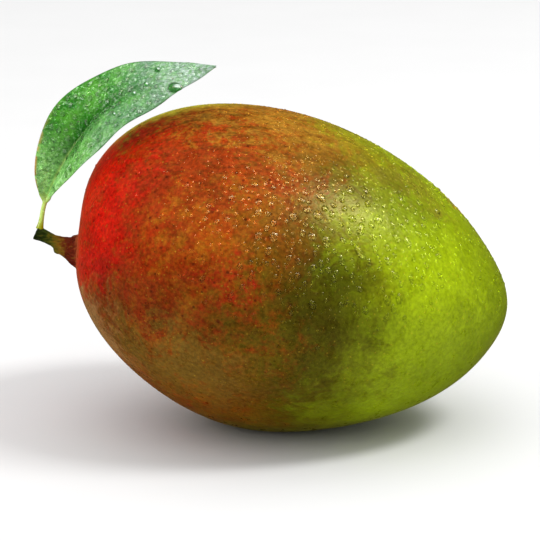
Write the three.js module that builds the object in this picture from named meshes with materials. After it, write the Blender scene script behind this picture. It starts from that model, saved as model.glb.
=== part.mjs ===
// A ripening mango, as picked: the fruit, the short woody stem it hung from, and one leaf.
//
// Units are millimetres. +Z is up and +X runs from the stem end towards the fruit's tip. The fruit lies on a
// small flat spot, and the origin is the middle of that spot. The leaf's upper side faces -Y, the front.

import * as THREE from 'three';
import { mergeVertices } from 'three/addons/utils/BufferGeometryUtils.js';

const { degToRad, lerp, smoothstep } = THREE.MathUtils;

// ---- fruit: a tapered ovoid, in a body frame whose +X is its long axis ------------------------------------
const HALF_LENGTH = 61.1;
const HALF_WIDTH = 49;
const HALF_THICKNESS = 43;
const CROWN = 2.7; // the upper side is this much fuller than the lower one
const TAPER = 0.09; // share by which the sections shrink at the tip and grow at the stem end
const TOP_TAPER = 0.06; // the same again, for the upper side only
const FRUIT_TILT = degToRad(-11.15); // the tip hangs lower than the stem end
const FRUIT_CENTRE = new THREE.Vector3(2.8, 0, 43.3);
const FRUIT_SPLITS = 15; // cuts along each edge of the icosahedron that the fruit's mesh starts from

// Broad rises on the ovoid. Each one faces an angle in the lengthwise upright plane, from the tip towards the
// top, and some are turned aside from that plane, towards the back.
const SWELLS = [
  { at: degToRad(145), aside: 0, height: 5.3, spread: degToRad(31.3) }, // shoulder above the stem
  { at: degToRad(6), aside: 0, height: 2.35, spread: degToRad(18.5) }, // blunt nose at the tip
  { at: degToRad(176), aside: 0, height: -1.45, spread: degToRad(13) }, // flatter seat of the stem
  { at: degToRad(-97), aside: 0, height: 5.2, spread: degToRad(28) }, // belly that carries the weight
  { at: degToRad(160), aside: degToRad(-50), height: 1.5, spread: degToRad(24) }, // front cheek
  { at: degToRad(15), aside: degToRad(55), height: 1.1, spread: degToRad(24) }, // back cheek
];
const STEM_ANGLE = degToRad(184.4);
const STEM_SEAT_SPAN = degToRad(4); // angle on each side of the stem over which its seat's slope is taken

const SPOT_SOFTNESS = 0.3; // height over which the flat rest spot rounds up into the skin

// ---- stem: a round woody stalk, from the fruit to its cut end ---------------------------------------------
const FIT_GAP = 0.3; // clearance between neighbouring pieces
const STEM_STEPS = [ // X and Z of the centre line's points, from its foot
  [0, 0], [-1.9, 0.65], [-3.65, 1.4], [-5.8, 2.3], [-9.6, 4.3], [-11.3, 5.1],
];
const STEM_RADIUS = 1.4;
const STEM_FLARE = 3.5; // added to the radius where the stem spreads on the fruit
const STEM_FLARE_LENGTH = 2.7; // distance over which the flare falls to a third
const STEM_HEAD = 0.65; // added to the radius at the cut end
const STEM_HEAD_START = 0.6; // share of the stem from which it widens towards the cut end
const STEM_TURN_SHARE = 0.3; // share over which its rings turn from the skin's slope to square
const STEM_STATIONS = 26;
const STEM_SIDES = 20;

// ---- leaf: a round stalk that widens into a folded, arching blade -----------------------------------------
const LEAF_CLEARANCE = 0.6; // gap below the middle of the stalk's foot, so that its rim keeps FIT_GAP
const LEAF_SHARE_OF_STEM = 0.93; // where on the stem the leaf's stalk stands
const LEAF_ROUTE = [ // the midrib, from the blade's foot to its tip
  new THREE.Vector3(-66.3, -0.4, 65.9),
  new THREE.Vector3(-58.7, -3.0, 81.2),
  new THREE.Vector3(-47.9, -6.0, 94.0),
  new THREE.Vector3(-33.9, -8.0, 102.5),
  new THREE.Vector3(-17.6, -9.0, 106.4),
];
const STALK_SHARE = 0.1; // share of the route that is stalk
const BLADE_HALF_WIDTH = 11.3;
const BLADE_FOOT_POWER = 0.76; // how bluntly the outline opens at the foot
const BLADE_TIP_POWER = 0.96; // how bluntly it closes at the tip
const STALK_RADIUS = 0.7;
const DRIP_TIP_RADIUS = 0.35;
const BLADE_THICKNESS = 0.9;
const BLADE_FLATTENING = 0.15; // share of the blade over which the round stalk thins to it
const TIP_THINNESS = 0.5; // thickness at the tip, as a share of the thickness at the foot
// How far the upper side turns upwards: at the foot, then per share of the blade and per share squared.
const FACE_LIFT = [degToRad(27), degToRad(80), degToRad(-62)];
const FOLD_AT_FOOT = degToRad(48); // rise of each half from the midrib
const FOLD_AT_TIP = degToRad(-26);
const FOLD_OPENING = 0.05; // share of the blade over which the fold starts
const LEAF_STATIONS = 40;
const LEAF_STRIPS = 8; // strips across the blade, an even number so that an edge follows the midrib

const Y_AXIS = new THREE.Vector3(0, 1, 0);

// The point of the fruit's skin that a unit vector of the body frame maps to, in the part's frame.
function fruitSkin(unit) {
  const widthShare = 1 - TAPER * unit.x;
  const heightShare = 1 - (TAPER + TOP_TAPER * unit.z) * unit.x;
  const point = new THREE.Vector3(
    HALF_LENGTH * unit.x,
    HALF_WIDTH * unit.y * widthShare,
    (HALF_THICKNESS + CROWN * unit.z) * unit.z * heightShare,
  );
  for (const { at, aside, height, spread } of SWELLS) {
    const upright = unit.x * Math.cos(at) + unit.z * Math.sin(at);
    const facing = upright * Math.cos(aside) + unit.y * Math.sin(aside);
    const rise = height * Math.exp((facing - 1) / (1 - Math.cos(spread)));
    point.addScaledVector(unit, rise);
  }
  point.applyAxisAngle(Y_AXIS, -FRUIT_TILT).add(FRUIT_CENTRE);
  point.z = restHeight(point.z);
  return point;
}

// Flattens what would lie below the ground, and rounds the edge of the flat spot.
function restHeight(height) {
  if (height <= -SPOT_SOFTNESS) return 0;
  if (height >= SPOT_SOFTNESS) return height;
  return (height + SPOT_SOFTNESS) ** 2 / (4 * SPOT_SOFTNESS);
}

function fruitGeometry() {
  const ball = new THREE.IcosahedronGeometry(1, FRUIT_SPLITS);
  ball.deleteAttribute('normal');
  ball.deleteAttribute('uv');
  const geometry = mergeVertices(ball);
  const position = geometry.getAttribute('position');
  const unit = new THREE.Vector3();
  for (let i = 0; i < position.count; i++) {
    unit.fromBufferAttribute(position, i).normalize();
    position.setXYZ(i, ...fruitSkin(unit));
  }
  geometry.computeVertexNormals();
  return geometry;
}

// A closed body through rings of points that all have the same count, with a fan closing each end.
// Seen from the start of the body, each ring runs clockwise.
function loftGeometry(rings) {
  const sides = rings[0].length;
  const last = (rings.length - 1) * sides;
  const points = rings.flat();
  const middle = (ring) => ring.reduce((sum, p) => sum.add(p), new THREE.Vector3()).divideScalar(sides);
  points.push(middle(rings[0]), middle(rings.at(-1)));
  const [startMiddle, endMiddle] = [points.length - 2, points.length - 1];

  const triangles = [];
  for (let j = 0; j < sides; j++) {
    const next = (j + 1) % sides;
    for (let row = 0; row < last; row += sides) {
      triangles.push(row + j, row + next, row + sides + next);
      triangles.push(row + j, row + sides + next, row + sides + j);
    }
    triangles.push(startMiddle, next, j);
    triangles.push(endMiddle, last + j, last + next);
  }
  const geometry = new THREE.BufferGeometry().setFromPoints(points);
  geometry.setIndex(triangles);
  geometry.computeVertexNormals();
  return geometry;
}

// The stem's centre line, with the direction in which it leaves the fruit.
function stemRoute() {
  const skinAt = (angle) => fruitSkin(new THREE.Vector3(Math.cos(angle), 0, Math.sin(angle)));
  const above = skinAt(STEM_ANGLE - STEM_SEAT_SPAN);
  const below = skinAt(STEM_ANGLE + STEM_SEAT_SPAN);
  const outward = new THREE.Vector3().crossVectors(Y_AXIS, below.sub(above)).normalize();
  const foot = skinAt(STEM_ANGLE).addScaledVector(outward, FIT_GAP);
  const route = new THREE.CatmullRomCurve3(
    STEM_STEPS.map(([x, z]) => new THREE.Vector3(foot.x + x, 0, foot.z + z)),
  );
  return { route, outward };
}

function stemRadius(distance, length) {
  const flare = STEM_FLARE * Math.exp(-distance / STEM_FLARE_LENGTH);
  const head = STEM_HEAD * smoothstep(distance, length * STEM_HEAD_START, length);
  return STEM_RADIUS + flare + head;
}

function stemGeometry() {
  const { route, outward } = stemRoute();
  const length = route.getLength();
  const rings = [];
  for (let i = 0; i <= STEM_STATIONS; i++) {
    const share = i / STEM_STATIONS;
    const centre = route.getPointAt(share);
    // The first ring lies along the fruit's skin, and the next ones turn to stand square to the route.
    const square = smoothstep(share, 0, STEM_TURN_SHARE);
    const along = outward.clone().lerp(route.getTangentAt(share), square).normalize();
    const across = new THREE.Vector3().crossVectors(Y_AXIS, along);
    const radius = stemRadius(share * length, length);
    const ring = [];
    for (let j = 0; j < STEM_SIDES; j++) {
      const turn = (2 * Math.PI * j) / STEM_SIDES;
      const point = centre.clone();
      point.addScaledVector(Y_AXIS, radius * Math.sin(turn)).addScaledVector(across, radius * Math.cos(turn));
      ring.push(point);
    }
    rings.push(ring);
  }
  return loftGeometry(rings);
}

// Half the blade's width at a share of its length, scaled so that its widest place is BLADE_HALF_WIDTH.
function bladeHalfWidth(share) {
  const outline = (s) => s ** BLADE_FOOT_POWER * (1 - s) ** BLADE_TIP_POWER;
  const widest = BLADE_FOOT_POWER / (BLADE_FOOT_POWER + BLADE_TIP_POWER);
  return (BLADE_HALF_WIDTH * outline(share)) / outline(widest);
}

function leafRing(route, share) {
  const blade = Math.max(0, (share - STALK_SHARE) / (1 - STALK_SHARE));
  const along = route.getTangentAt(share);
  const lift = FACE_LIFT[0] + FACE_LIFT[1] * blade + FACE_LIFT[2] * blade ** 2;
  const facing = new THREE.Vector3(0, -Math.cos(lift), Math.sin(lift));
  const upper = facing.addScaledVector(along, -facing.dot(along)).normalize();
  const across = new THREE.Vector3().crossVectors(upper, along);
  const roundRadius = lerp(STALK_RADIUS, DRIP_TIP_RADIUS, blade);
  const halfWidth = Math.hypot(roundRadius, bladeHalfWidth(blade));
  const flattened = smoothstep(blade, 0, BLADE_FLATTENING);
  const thickness = lerp(2 * STALK_RADIUS, BLADE_THICKNESS, flattened) * lerp(1, TIP_THINNESS, blade);
  const fold = lerp(FOLD_AT_FOOT, FOLD_AT_TIP, blade) * smoothstep(blade, 0, FOLD_OPENING);

  const centre = route.getPointAt(share);
  const ring = [];
  for (let j = 0; j < 2 * LEAF_STRIPS; j++) {
    const turn = (Math.PI * j) / LEAF_STRIPS;
    const offset = Math.cos(turn) * halfWidth;
    const height = Math.abs(offset) * Math.sin(fold) + (Math.sin(turn) * thickness) / 2;
    ring.push(centre.clone().addScaledVector(across, offset * Math.cos(fold)).addScaledVector(upper, height));
  }
  return ring;
}

// The middle of the stalk's foot, which stands clear of the stem's upper side.
function leafFoot() {
  const { route } = stemRoute();
  const length = route.getLength();
  const clearance = stemRadius(LEAF_SHARE_OF_STEM * length, length) + LEAF_CLEARANCE;
  const along = route.getTangentAt(LEAF_SHARE_OF_STEM);
  const upward = new THREE.Vector3().crossVectors(Y_AXIS, along);
  return route.getPointAt(LEAF_SHARE_OF_STEM).addScaledVector(upward, clearance);
}

function leafGeometry() {
  const route = new THREE.CatmullRomCurve3([leafFoot(), ...LEAF_ROUTE]);
  const rings = [];
  for (let i = 0; i <= LEAF_STATIONS; i++) {
    rings.push(leafRing(route, i / LEAF_STATIONS));
  }
  return loftGeometry(rings);
}

function piece(name, geometry, color, roughness) {
  const mesh = new THREE.Mesh(geometry, new THREE.MeshStandardMaterial({ color, roughness, metalness: 0 }));
  mesh.name = name;
  return mesh;
}

const mango = new THREE.Group();
mango.add(piece('mango_fruit', fruitGeometry(), 0x9a5a10, 0.35));
mango.add(piece('stem', stemGeometry(), 0x5b3a14, 0.8));
mango.add(piece('leaf', leafGeometry(), 0x3f8f35, 0.4));

export default mango;
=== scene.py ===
# A ripening mango with its short stem and one leaf, wet with drops, lying on a pale studio floor.
#
# Lengths are written in millimetres in the CAD part's frame, with +Z up, +X towards the fruit's tip and the
# front towards -Y, and MM turns them into Blender's metres. The fruit, the stem and the leaf repeat the CAD
# part's shapes at a finer resolution, and add what is too small for it: ridges, veins and drops.

import math
from collections import namedtuple

import bmesh
import bpy
import numpy as np
from mathutils import Matrix, Vector, noise
from mathutils.bvhtree import BVHTree
from mathutils.kdtree import KDTree


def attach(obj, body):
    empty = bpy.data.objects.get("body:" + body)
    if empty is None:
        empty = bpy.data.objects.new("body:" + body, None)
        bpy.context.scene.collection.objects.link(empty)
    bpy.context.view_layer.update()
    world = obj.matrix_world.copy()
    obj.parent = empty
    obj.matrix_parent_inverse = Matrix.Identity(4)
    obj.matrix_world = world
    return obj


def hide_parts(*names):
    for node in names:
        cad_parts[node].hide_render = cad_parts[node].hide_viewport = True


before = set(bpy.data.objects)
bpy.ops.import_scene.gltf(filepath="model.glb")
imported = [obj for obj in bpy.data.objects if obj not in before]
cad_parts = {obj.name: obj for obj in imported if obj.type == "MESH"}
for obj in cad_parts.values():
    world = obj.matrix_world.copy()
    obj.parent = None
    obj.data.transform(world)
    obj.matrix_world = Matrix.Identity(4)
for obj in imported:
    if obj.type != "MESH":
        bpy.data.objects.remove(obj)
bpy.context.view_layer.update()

MM = 0.001
SEED = 20
ROUTE_STEPS = 80  # between two points of a route

# ---- fruit ----
# As in the CAD part, it is a tapered ovoid in a body frame whose +X is its long axis.
HALF_LENGTH = 61.1
HALF_WIDTH = 49
HALF_THICKNESS = 43
CROWN = 2.7  # the upper side is this much fuller, and the lower one this much flatter
TAPER = 0.09  # the sections shrink by this share at the tip and grow by it at the stem
TOP_TAPER = 0.06  # more of it on the upper side, and less on the lower one
FRUIT_TILT = math.radians(-11.15)
FRUIT_CENTRE = np.array([2.8, 0, 43.3])
FRUIT_SUBDIVISIONS = 7
SWELLS = [  # broad rises and a dent: two angles of the way each faces, height in mm, spread in degrees
    (145, 0, 5.3, 31.3),  # shoulder above the stem
    (6, 0, 2.35, 18.5),  # blunt nose at the tip
    (176, 0, -1.45, 13),  # flatter seat of the stem
    (-97, 0, 5.2, 28),  # belly that carries the weight
    (160, -50, 1.5, 24),  # front cheek
    (15, 55, 1.1, 24),  # back cheek
]
SPOT_SOFTNESS = 0.3  # height over which the flat rest spot rounds up into the skin
STEM_ANGLE = math.radians(184.4)
STEM_SEAT_SPAN = math.radians(4)  # on each side of the stem, where its seat's slope is taken
STEM_FOOT_IN_BODY = (-60.7, 0, -4.6)
UNEVEN_GRAINS = [  # rise and width in mm of what the grown skin adds to the smooth ovoid
    (0.14, 30),
    (0.03, 2.6),
]
EVEN_HEIGHTS = (1, 8)  # Z between which they grow from nothing

# ---- stem ----
FIT_GAP = 0.3
STEM_STEPS = [  # X and Z of the centre line's points, from its foot
    (0, 0),
    (-1.9, 0.65),
    (-3.65, 1.4),
    (-5.8, 2.3),
    (-9.6, 4.3),
    (-11.3, 5.1),
]
STEM_RADIUS = 1.4
STEM_FLARE = 3.5
STEM_FLARE_LENGTH = 2.7
STEM_HEAD = 0.65
STEM_HEAD_START = 0.6  # share of the stem from which it widens
STEM_TURN_SHARE = 0.3  # share over which its rings turn from the skin to square
STEM_WEB = 1.5  # how much wider its foot is underneath
STEM_ROOT = 1.2  # how far its foot is drawn across FIT_GAP and into the fruit
STEM_ROOT_SHARE = 0.12  # and over which share of the stem
KNOT_HEIGHT = 1.1  # scar of a fallen twig on the stem's underside
KNOT_SHARES = (0.2, 0.43, 0.5)  # where it starts to rise, is highest, and ends in a ledge
CUT_EDGE_START = 0.985  # share of the stem from which its cut end is rounded
CUT_EDGE_ROUNDING = 0.12
BARK_GRAINS = [  # rise as a share of the radius, grains per radius across and per mm along
    (0.15, 3.2, 0.32),  # ridges
    (0.06, 7.04, 0.96),  # fibres
]
STEM_STATIONS = 150
STEM_SIDES = 72

# ---- leaf ----
LEAF_ROOT = 0.5  # depth of the stalk's foot in the stem
LEAF_SHARE_OF_STEM = 0.93
LEAF_ROUTE = [  # the midrib, from the blade's foot to its tip
    (-66.3, -0.4, 65.9),
    (-58.7, -3, 81.2),
    (-47.9, -6, 94),
    (-33.9, -8, 102.5),
    (-17.6, -9, 106.4),
]
STALK_SHARE = 0.1  # share of the route that is stalk
BLADE_HALF_WIDTH = 11.3
BLADE_FOOT_POWER = 0.78  # how bluntly the outline opens at the foot
BLADE_TIP_POWER = 0.96  # how bluntly it closes at the tip
FOOT_LEAN = 0.42  # how much narrower the lower half of the blade is at its foot
FOOT_LEAN_LENGTH = 0.22  # and over which share of the blade
STALK_RADIUS = 0.8
STALK_FLARE = 0.6  # added to the stalk's radius where it stands on the stem
STALK_FLARE_STATIONS = 6  # and over which it falls to a third
DRIP_TIP_RADIUS = 0.3
BLADE_THICKNESS = 0.45
BLADE_FLATTENING = 0.12  # share of the blade over which the round stalk thins to it
TIP_THINNESS = 0.6  # thickness at the tip, as a share of the thickness at the foot
SECTION_POWERS = (2, 12)  # of the outline across the stalk, where 2 is round, and across the blade
# how far the upper face looks up: at the blade's foot, then what its share and its square add
FACE_LIFT = [math.radians(27), math.radians(80), math.radians(-62)]
FOLD_AT_FOOT = math.radians(48)  # rise of each half from the midrib
FOLD_AT_TIP = math.radians(-26)
FOLD_OPENING = 0.05  # share of the blade over which the fold starts
LEAF_STATIONS = 300
LEAF_STRIPS = 64
STRIP_CROWDING = 1.35  # above 1, the strips are narrower towards the midrib
VEINS = 22  # side veins on each half of the blade
VEIN_SWEEP = 0.13  # how far towards the tip a side vein runs, as a share of the blade's length
VEIN_CURVE = 0.85
QUILT_HEIGHT = 0.09  # rise of the blade between two side veins
WAVE_HEIGHT = 0.45  # of the margins
WAVES = 3.4  # from foot to tip
WAVE_SHIFT = 2  # of the lower margin against the upper one, in radians
BOW_HEIGHT = 0.5  # rise of each half of the blade at its middle
RELIEF_FADE = (1, 6)  # half widths in mm between which quilt and waves grow from nothing
BOW_FADE = (2, 8)  # and the bow
MIDRIB_DEPTH = 0.3  # of its groove in the upper face
MIDRIB_KEEL = 0.66  # and how far it stands out of the lower one
MIDRIB_HALF_WIDTH = 0.75
MIDRIB_AT_TIP = 0.35  # share of them that is left there

# ---- camera ----
CAMERA_TARGET = Vector((-2.63, 0, 45.47)) * MM
CAMERA_DISTANCE = 720 * MM
CAMERA_ELEVATION = math.radians(15)
VIEW_WIDTH = 154.7 * MM  # what the picture spans at the target
SENSOR_WIDTH = 36  # mm

# ---- light ----
ROOM_BRIGHT_SIDE = (-0.15, -0.15, 1)
ROOM_BRIGHTNESS = (0.4, 1.6)  # on the far side from that direction, and towards it
ROOM_BLEND = (0.2, 0.95)  # cosines of the angle from it between which the room brightens
# name, direction, long side's direction, distance, length and width in mm, power in W, what it lights
SOFTBOXES = [
    ("key", (0.57, -0.14, 0.81), (0.6, 0.6, -0.4), 1200, (460, 240), 7.4, None),
    ("leaf_sheen", (-0.32, -0.2, 0.92), (1, 0, 0), 700, (420, 320), 0.95, "leaf"),
    ("dew_strip", (0.12, -0.3, 0.95), (1, 0, 0), 600, (1300, 260), 5.2, "dew"),
    ("leaf_side", (-0.97, -0.1, 0.2), (0, 0, 1), 700, (500, 400), 2.1, "leaf"),
]


# ---- small tools ----
def smoothstep(value, low, high):
    share = np.clip((value - low) / (high - low), 0, 1)
    return share * share * (3 - 2 * share)


def lerp(start, end, share):
    return start + (end - start) * share


def normalised(vectors):
    return vectors / np.linalg.norm(vectors, axis=-1, keepdims=True)


def grain(points, size):
    """Smooth noise from -1 to 1 at points (N x 3), with rises about size apart."""
    return np.array([noise.noise(Vector(point)) for point in points / size])


def circle(sides):
    """Points of the unit circle, from +X round by +Y."""
    turns = np.arange(sides) * 2 * math.pi / sides
    return np.column_stack((np.cos(turns), np.sin(turns), np.zeros(sides)))


def smooth_route(knots, count):
    """Evenly spaced points of the centripetal Catmull-Rom curve through knots, with directions and length."""
    knots = np.array(knots, float)
    knots = np.vstack((2 * knots[0] - knots[1], knots, 2 * knots[-1] - knots[-2]))
    fine = []
    for p0, p1, p2, p3 in zip(knots, knots[1:], knots[2:], knots[3:]):
        t1 = math.sqrt(np.linalg.norm(p1 - p0))
        t2 = t1 + math.sqrt(np.linalg.norm(p2 - p1))
        t3 = t2 + math.sqrt(np.linalg.norm(p3 - p2))
        t = np.linspace(t1, t2, ROUTE_STEPS)[:, None]
        a1 = lerp(p0, p1, t / t1)
        a2 = lerp(p1, p2, (t - t1) / (t2 - t1))
        a3 = lerp(p2, p3, (t - t2) / (t3 - t2))
        b1 = lerp(a1, a2, t / t2)
        b2 = lerp(a2, a3, (t - t1) / (t3 - t1))
        fine.extend(lerp(b1, b2, (t - t1) / (t2 - t1)))
    fine = np.array(fine)
    travelled = np.concatenate(([0], np.cumsum(np.linalg.norm(np.diff(fine, axis=0), axis=1))))
    stops = np.linspace(0, travelled[-1], count)
    points = np.column_stack([np.interp(stops, travelled, fine[:, axis]) for axis in range(3)])
    return points, normalised(np.gradient(points, axis=0)), travelled[-1]


def new_object(name, content):
    item = bpy.data.objects.new(name, content)
    bpy.context.scene.collection.objects.link(item)
    return item


def new_piece(name, points, faces, material):
    """A smooth-shaded mesh object from points in mm."""
    mesh = bpy.data.meshes.new(name)
    mesh.from_pydata((np.asarray(points) * MM).tolist(), [], faces)
    mesh.shade_smooth()
    mesh.materials.append(material)
    return new_object(name, mesh)


def new_loft(name, rings, material):
    """A closed body through rings of points in mm, with one more point at the middle of each end."""
    rings = np.array(rings)
    stations, sides = rings.shape[:2]
    first_middle = stations * sides
    last = first_middle - sides
    faces = []
    for j in range(sides):
        k = (j + 1) % sides
        faces.extend((row + j, row + k, row + sides + k, row + sides + j) for row in range(0, last, sides))
        faces.append((first_middle, k, j))
        faces.append((first_middle + 1, last + j, last + k))
    points = np.vstack((rings.reshape(-1, 3), rings[0].mean(axis=0), rings[-1].mean(axis=0)))
    return new_piece(name, points, faces, material)


def tree_of(points):
    """A tree that finds near points."""
    tree = KDTree(len(points))
    for number, point in enumerate(points):
        tree.insert(Vector(point), number)
    tree.balance()
    return tree


# ---- fruit ----
def fruit_skin(unit):
    """The skin's points for unit vectors (N x 3) of the body frame."""
    x, y, z = unit.T
    width_share = 1 - TAPER * x
    height_share = 1 - (TAPER + TOP_TAPER * z) * x
    points = np.column_stack((
        HALF_LENGTH * x,
        HALF_WIDTH * y * width_share,
        (HALF_THICKNESS + CROWN * z) * z * height_share,
    ))
    for at, aside, height, spread in SWELLS:
        at, aside, spread = np.radians((at, aside, spread))
        facing = (x * np.cos(at) + z * np.sin(at)) * np.cos(aside) + y * np.sin(aside)
        rise = height * np.exp((facing - 1) / (1 - np.cos(spread)))
        points += unit * rise[:, None]
    cosine, sine = math.cos(-FRUIT_TILT), math.sin(-FRUIT_TILT)
    tilted = np.column_stack((
        points[:, 0] * cosine + points[:, 2] * sine,
        points[:, 1],
        points[:, 2] * cosine - points[:, 0] * sine,
    )) + FRUIT_CENTRE
    tilted[:, 2] = rest_height(tilted[:, 2])
    return tilted


def rest_height(height):
    """Flattens what would lie below the ground, and rounds the edge of the flat spot."""
    rounded = (np.clip(height, -SPOT_SOFTNESS, SPOT_SOFTNESS) + SPOT_SOFTNESS) ** 2 / (4 * SPOT_SOFTNESS)
    return np.where(height < SPOT_SOFTNESS, rounded, height)


def make_fruit(material):
    ball = bmesh.new()
    bmesh.ops.create_icosphere(ball, subdivisions=FRUIT_SUBDIVISIONS, radius=1)
    unit = normalised(np.array([vertex.co for vertex in ball.verts]))
    faces = [[vertex.index for vertex in face.verts] for face in ball.faces]
    ball.free()
    points = fruit_skin(unit)
    clear_of_ground = smoothstep(points[:, 2], *EVEN_HEIGHTS)
    uneven = sum(height * grain(points, width) for height, width in UNEVEN_GRAINS) * clear_of_ground
    return new_piece("mango_skin", points + unit * uneven[:, None], faces, material)


# ---- stem ----
def stem_route(count):
    """Points along the stem's centre line, their directions, its length, and the way out of the fruit."""
    angles = STEM_ANGLE + np.array([0, -STEM_SEAT_SPAN, STEM_SEAT_SPAN])
    foot, above, below = fruit_skin(np.column_stack((np.cos(angles), np.zeros(3), np.sin(angles))))
    outward = normalised(np.cross((0, 1, 0), below - above))
    steps = np.array([(x, 0, z) for x, z in STEM_STEPS])
    points, along, length = smooth_route(foot + outward * FIT_GAP + steps, count)
    return points, along, length, outward


def stem_radius(distance, length):
    flare = STEM_FLARE * np.exp(-distance / STEM_FLARE_LENGTH)
    head = STEM_HEAD * smoothstep(distance, length * STEM_HEAD_START, length)
    return STEM_RADIUS + flare + head


def bark_relief(around, distance):
    """How far ridges and fibres rise around the stem, as shares of its radius."""
    relief = 0
    for height, across, along in BARK_GRAINS:
        relief = relief + height * grain(around * across + (0, 0, distance * along), 1)
    return relief


def make_stem(material):
    centres, directions, length, outward = stem_route(STEM_STATIONS)
    around = circle(STEM_SIDES)
    underneath = np.clip(-around[:, 0], 0, 1) ** 2
    knot_start, knot_top, knot_end = KNOT_SHARES
    rings = []
    for i, (centre, direction) in enumerate(zip(centres, directions)):
        share = i / (STEM_STATIONS - 1)
        distance = share * length
        facing = normalised(lerp(outward, direction, smoothstep(share, 0, STEM_TURN_SHARE)))
        upward = np.cross((0, 1, 0), facing)
        knot = KNOT_HEIGHT * smoothstep(share, knot_start, knot_top) * smoothstep(share, knot_end, knot_top)
        web = STEM_WEB * math.exp(-distance / STEM_FLARE_LENGTH)
        radius = stem_radius(distance, length) * (1 + bark_relief(around, distance))
        radius += (knot + web) * underneath
        radius *= 1 - CUT_EDGE_ROUNDING * smoothstep(share, CUT_EDGE_START, 1)
        spokes = np.outer(around[:, 1], (0, 1, 0)) + np.outer(around[:, 0], upward)
        sunk = STEM_ROOT * (1 - smoothstep(share, 0, STEM_ROOT_SHARE))
        rings.append(centre + radius[:, None] * spokes - outward * sunk)
    return new_loft("mango_stem", rings, material)


# ---- leaf ----
def blade_half_width(share):
    widest = BLADE_FOOT_POWER / (BLADE_FOOT_POWER + BLADE_TIP_POWER)
    outline = share**BLADE_FOOT_POWER * (1 - share) ** BLADE_TIP_POWER
    return BLADE_HALF_WIDTH * outline / (widest**BLADE_FOOT_POWER * (1 - widest) ** BLADE_TIP_POWER)


def leaf_foot():
    """The middle of the leaf stalk's foot, just inside the stem's upper side."""
    centres, directions, length, _ = stem_route(STEM_STATIONS)
    at = round(LEAF_SHARE_OF_STEM * (STEM_STATIONS - 1))
    upward = np.cross((0, 1, 0), directions[at])
    return centres[at] + upward * (stem_radius(LEAF_SHARE_OF_STEM * length, length) - LEAF_ROOT)


def make_leaf(material):
    """The leaf, and the points of its two margins.

    Each vertex keeps its place for the finish to read: along the blade, across it, and 1 on the underside.
    """
    centres, directions, _ = smooth_route([leaf_foot(), *LEAF_ROUTE], LEAF_STATIONS)
    aside = np.linspace(1, -1, LEAF_STRIPS + 1)
    aside = np.sign(aside) * np.abs(aside) ** STRIP_CROWDING
    aside = np.concatenate((aside, aside[-2:0:-1]))
    on_top = np.arange(2 * LEAF_STRIPS) <= LEAF_STRIPS
    rings = []
    places = []
    for i, (centre, direction) in enumerate(zip(centres, directions)):
        blade = max(0, (i / (LEAF_STATIONS - 1) - STALK_SHARE) / (1 - STALK_SHARE))
        flare = STALK_FLARE * math.exp(-i / STALK_FLARE_STATIONS)
        rings.append(leaf_ring(centre, direction, blade, flare, aside, on_top))
        places.append(np.column_stack((np.full(len(aside), blade), aside, ~on_top)))
    leaf = new_loft("mango_leaf", rings, material)
    places.append([(0, 0, 0), (1, 0, 0)])
    layer = leaf.data.attributes.new("leaf_place", "FLOAT_VECTOR", "POINT")
    layer.data.foreach_set("vector", np.vstack(places).ravel())
    return leaf, [point for ring in rings for point in (ring[0], ring[LEAF_STRIPS])]


def leaf_ring(centre, direction, blade, flare, aside, on_top):
    """One section of the leaf, at a share of its blade, with points at shares aside of its half width."""
    lift = FACE_LIFT[0] + FACE_LIFT[1] * blade + FACE_LIFT[2] * blade**2
    facing = np.array((0, -math.cos(lift), math.sin(lift)))
    upper = normalised(facing - direction * facing.dot(direction))
    across = np.cross(upper, direction)

    opened = smoothstep(blade, 0, BLADE_FLATTENING)
    half_width = math.hypot(lerp(STALK_RADIUS, DRIP_TIP_RADIUS, blade) + flare, blade_half_width(blade))
    thickness = lerp(2 * (STALK_RADIUS + flare), BLADE_THICKNESS, opened) * lerp(1, TIP_THINNESS, blade)
    fold = lerp(FOLD_AT_FOOT, FOLD_AT_TIP, blade) * smoothstep(blade, 0, FOLD_OPENING)
    lean = 1 - FOOT_LEAN * math.exp(-((blade / FOOT_LEAN_LENGTH) ** 2))
    offset = aside * half_width * np.where(aside < 0, lean, 1)

    rim = np.sqrt(np.maximum(0, 1 - np.abs(aside) ** lerp(*SECTION_POWERS, opened)))
    midrib = np.exp(-((offset / MIDRIB_HALF_WIDTH) ** 2)) * opened * lerp(1, MIDRIB_AT_TIP, blade)
    height = np.abs(offset) * math.sin(fold) + np.where(on_top, 1, -1) * rim * thickness / 2
    height += leaf_relief(blade, aside, half_width) * opened
    height -= np.where(on_top, MIDRIB_DEPTH, MIDRIB_KEEL) * midrib
    return centre + np.outer(offset * math.cos(fold), across) + np.outer(height, upper)


def leaf_relief(blade, aside, half_width):
    """How far the blade rises between its side veins, waves at its margins and bows on each side."""
    outward = np.abs(aside)
    vein_turn = VEINS * (blade - VEIN_SWEEP * outward**VEIN_CURVE) + np.where(aside > 0, 0.5, 0)
    between = 1 - np.abs(2 * (vein_turn % 1) - 1)
    quilt = QUILT_HEIGHT * np.sqrt(between) * (1 - outward**3)
    wave = WAVE_HEIGHT * np.sin(2 * math.pi * WAVES * blade + np.where(aside > 0, 0, WAVE_SHIFT)) * outward**3
    bow = BOW_HEIGHT * (1 - np.abs(2 * outward - 1)) * (1 - blade)
    return (quilt + wave) * smoothstep(half_width, *RELIEF_FADE) + bow * smoothstep(half_width, *BOW_FADE)


# ---- drops of water ----
DROP_GRADES = [  # largest radius, sides, bands
    (0.35, 8, 2),
    (0.6, 11, 2),
    (1, 20, 5),
    (9, 40, 10),
]
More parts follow.
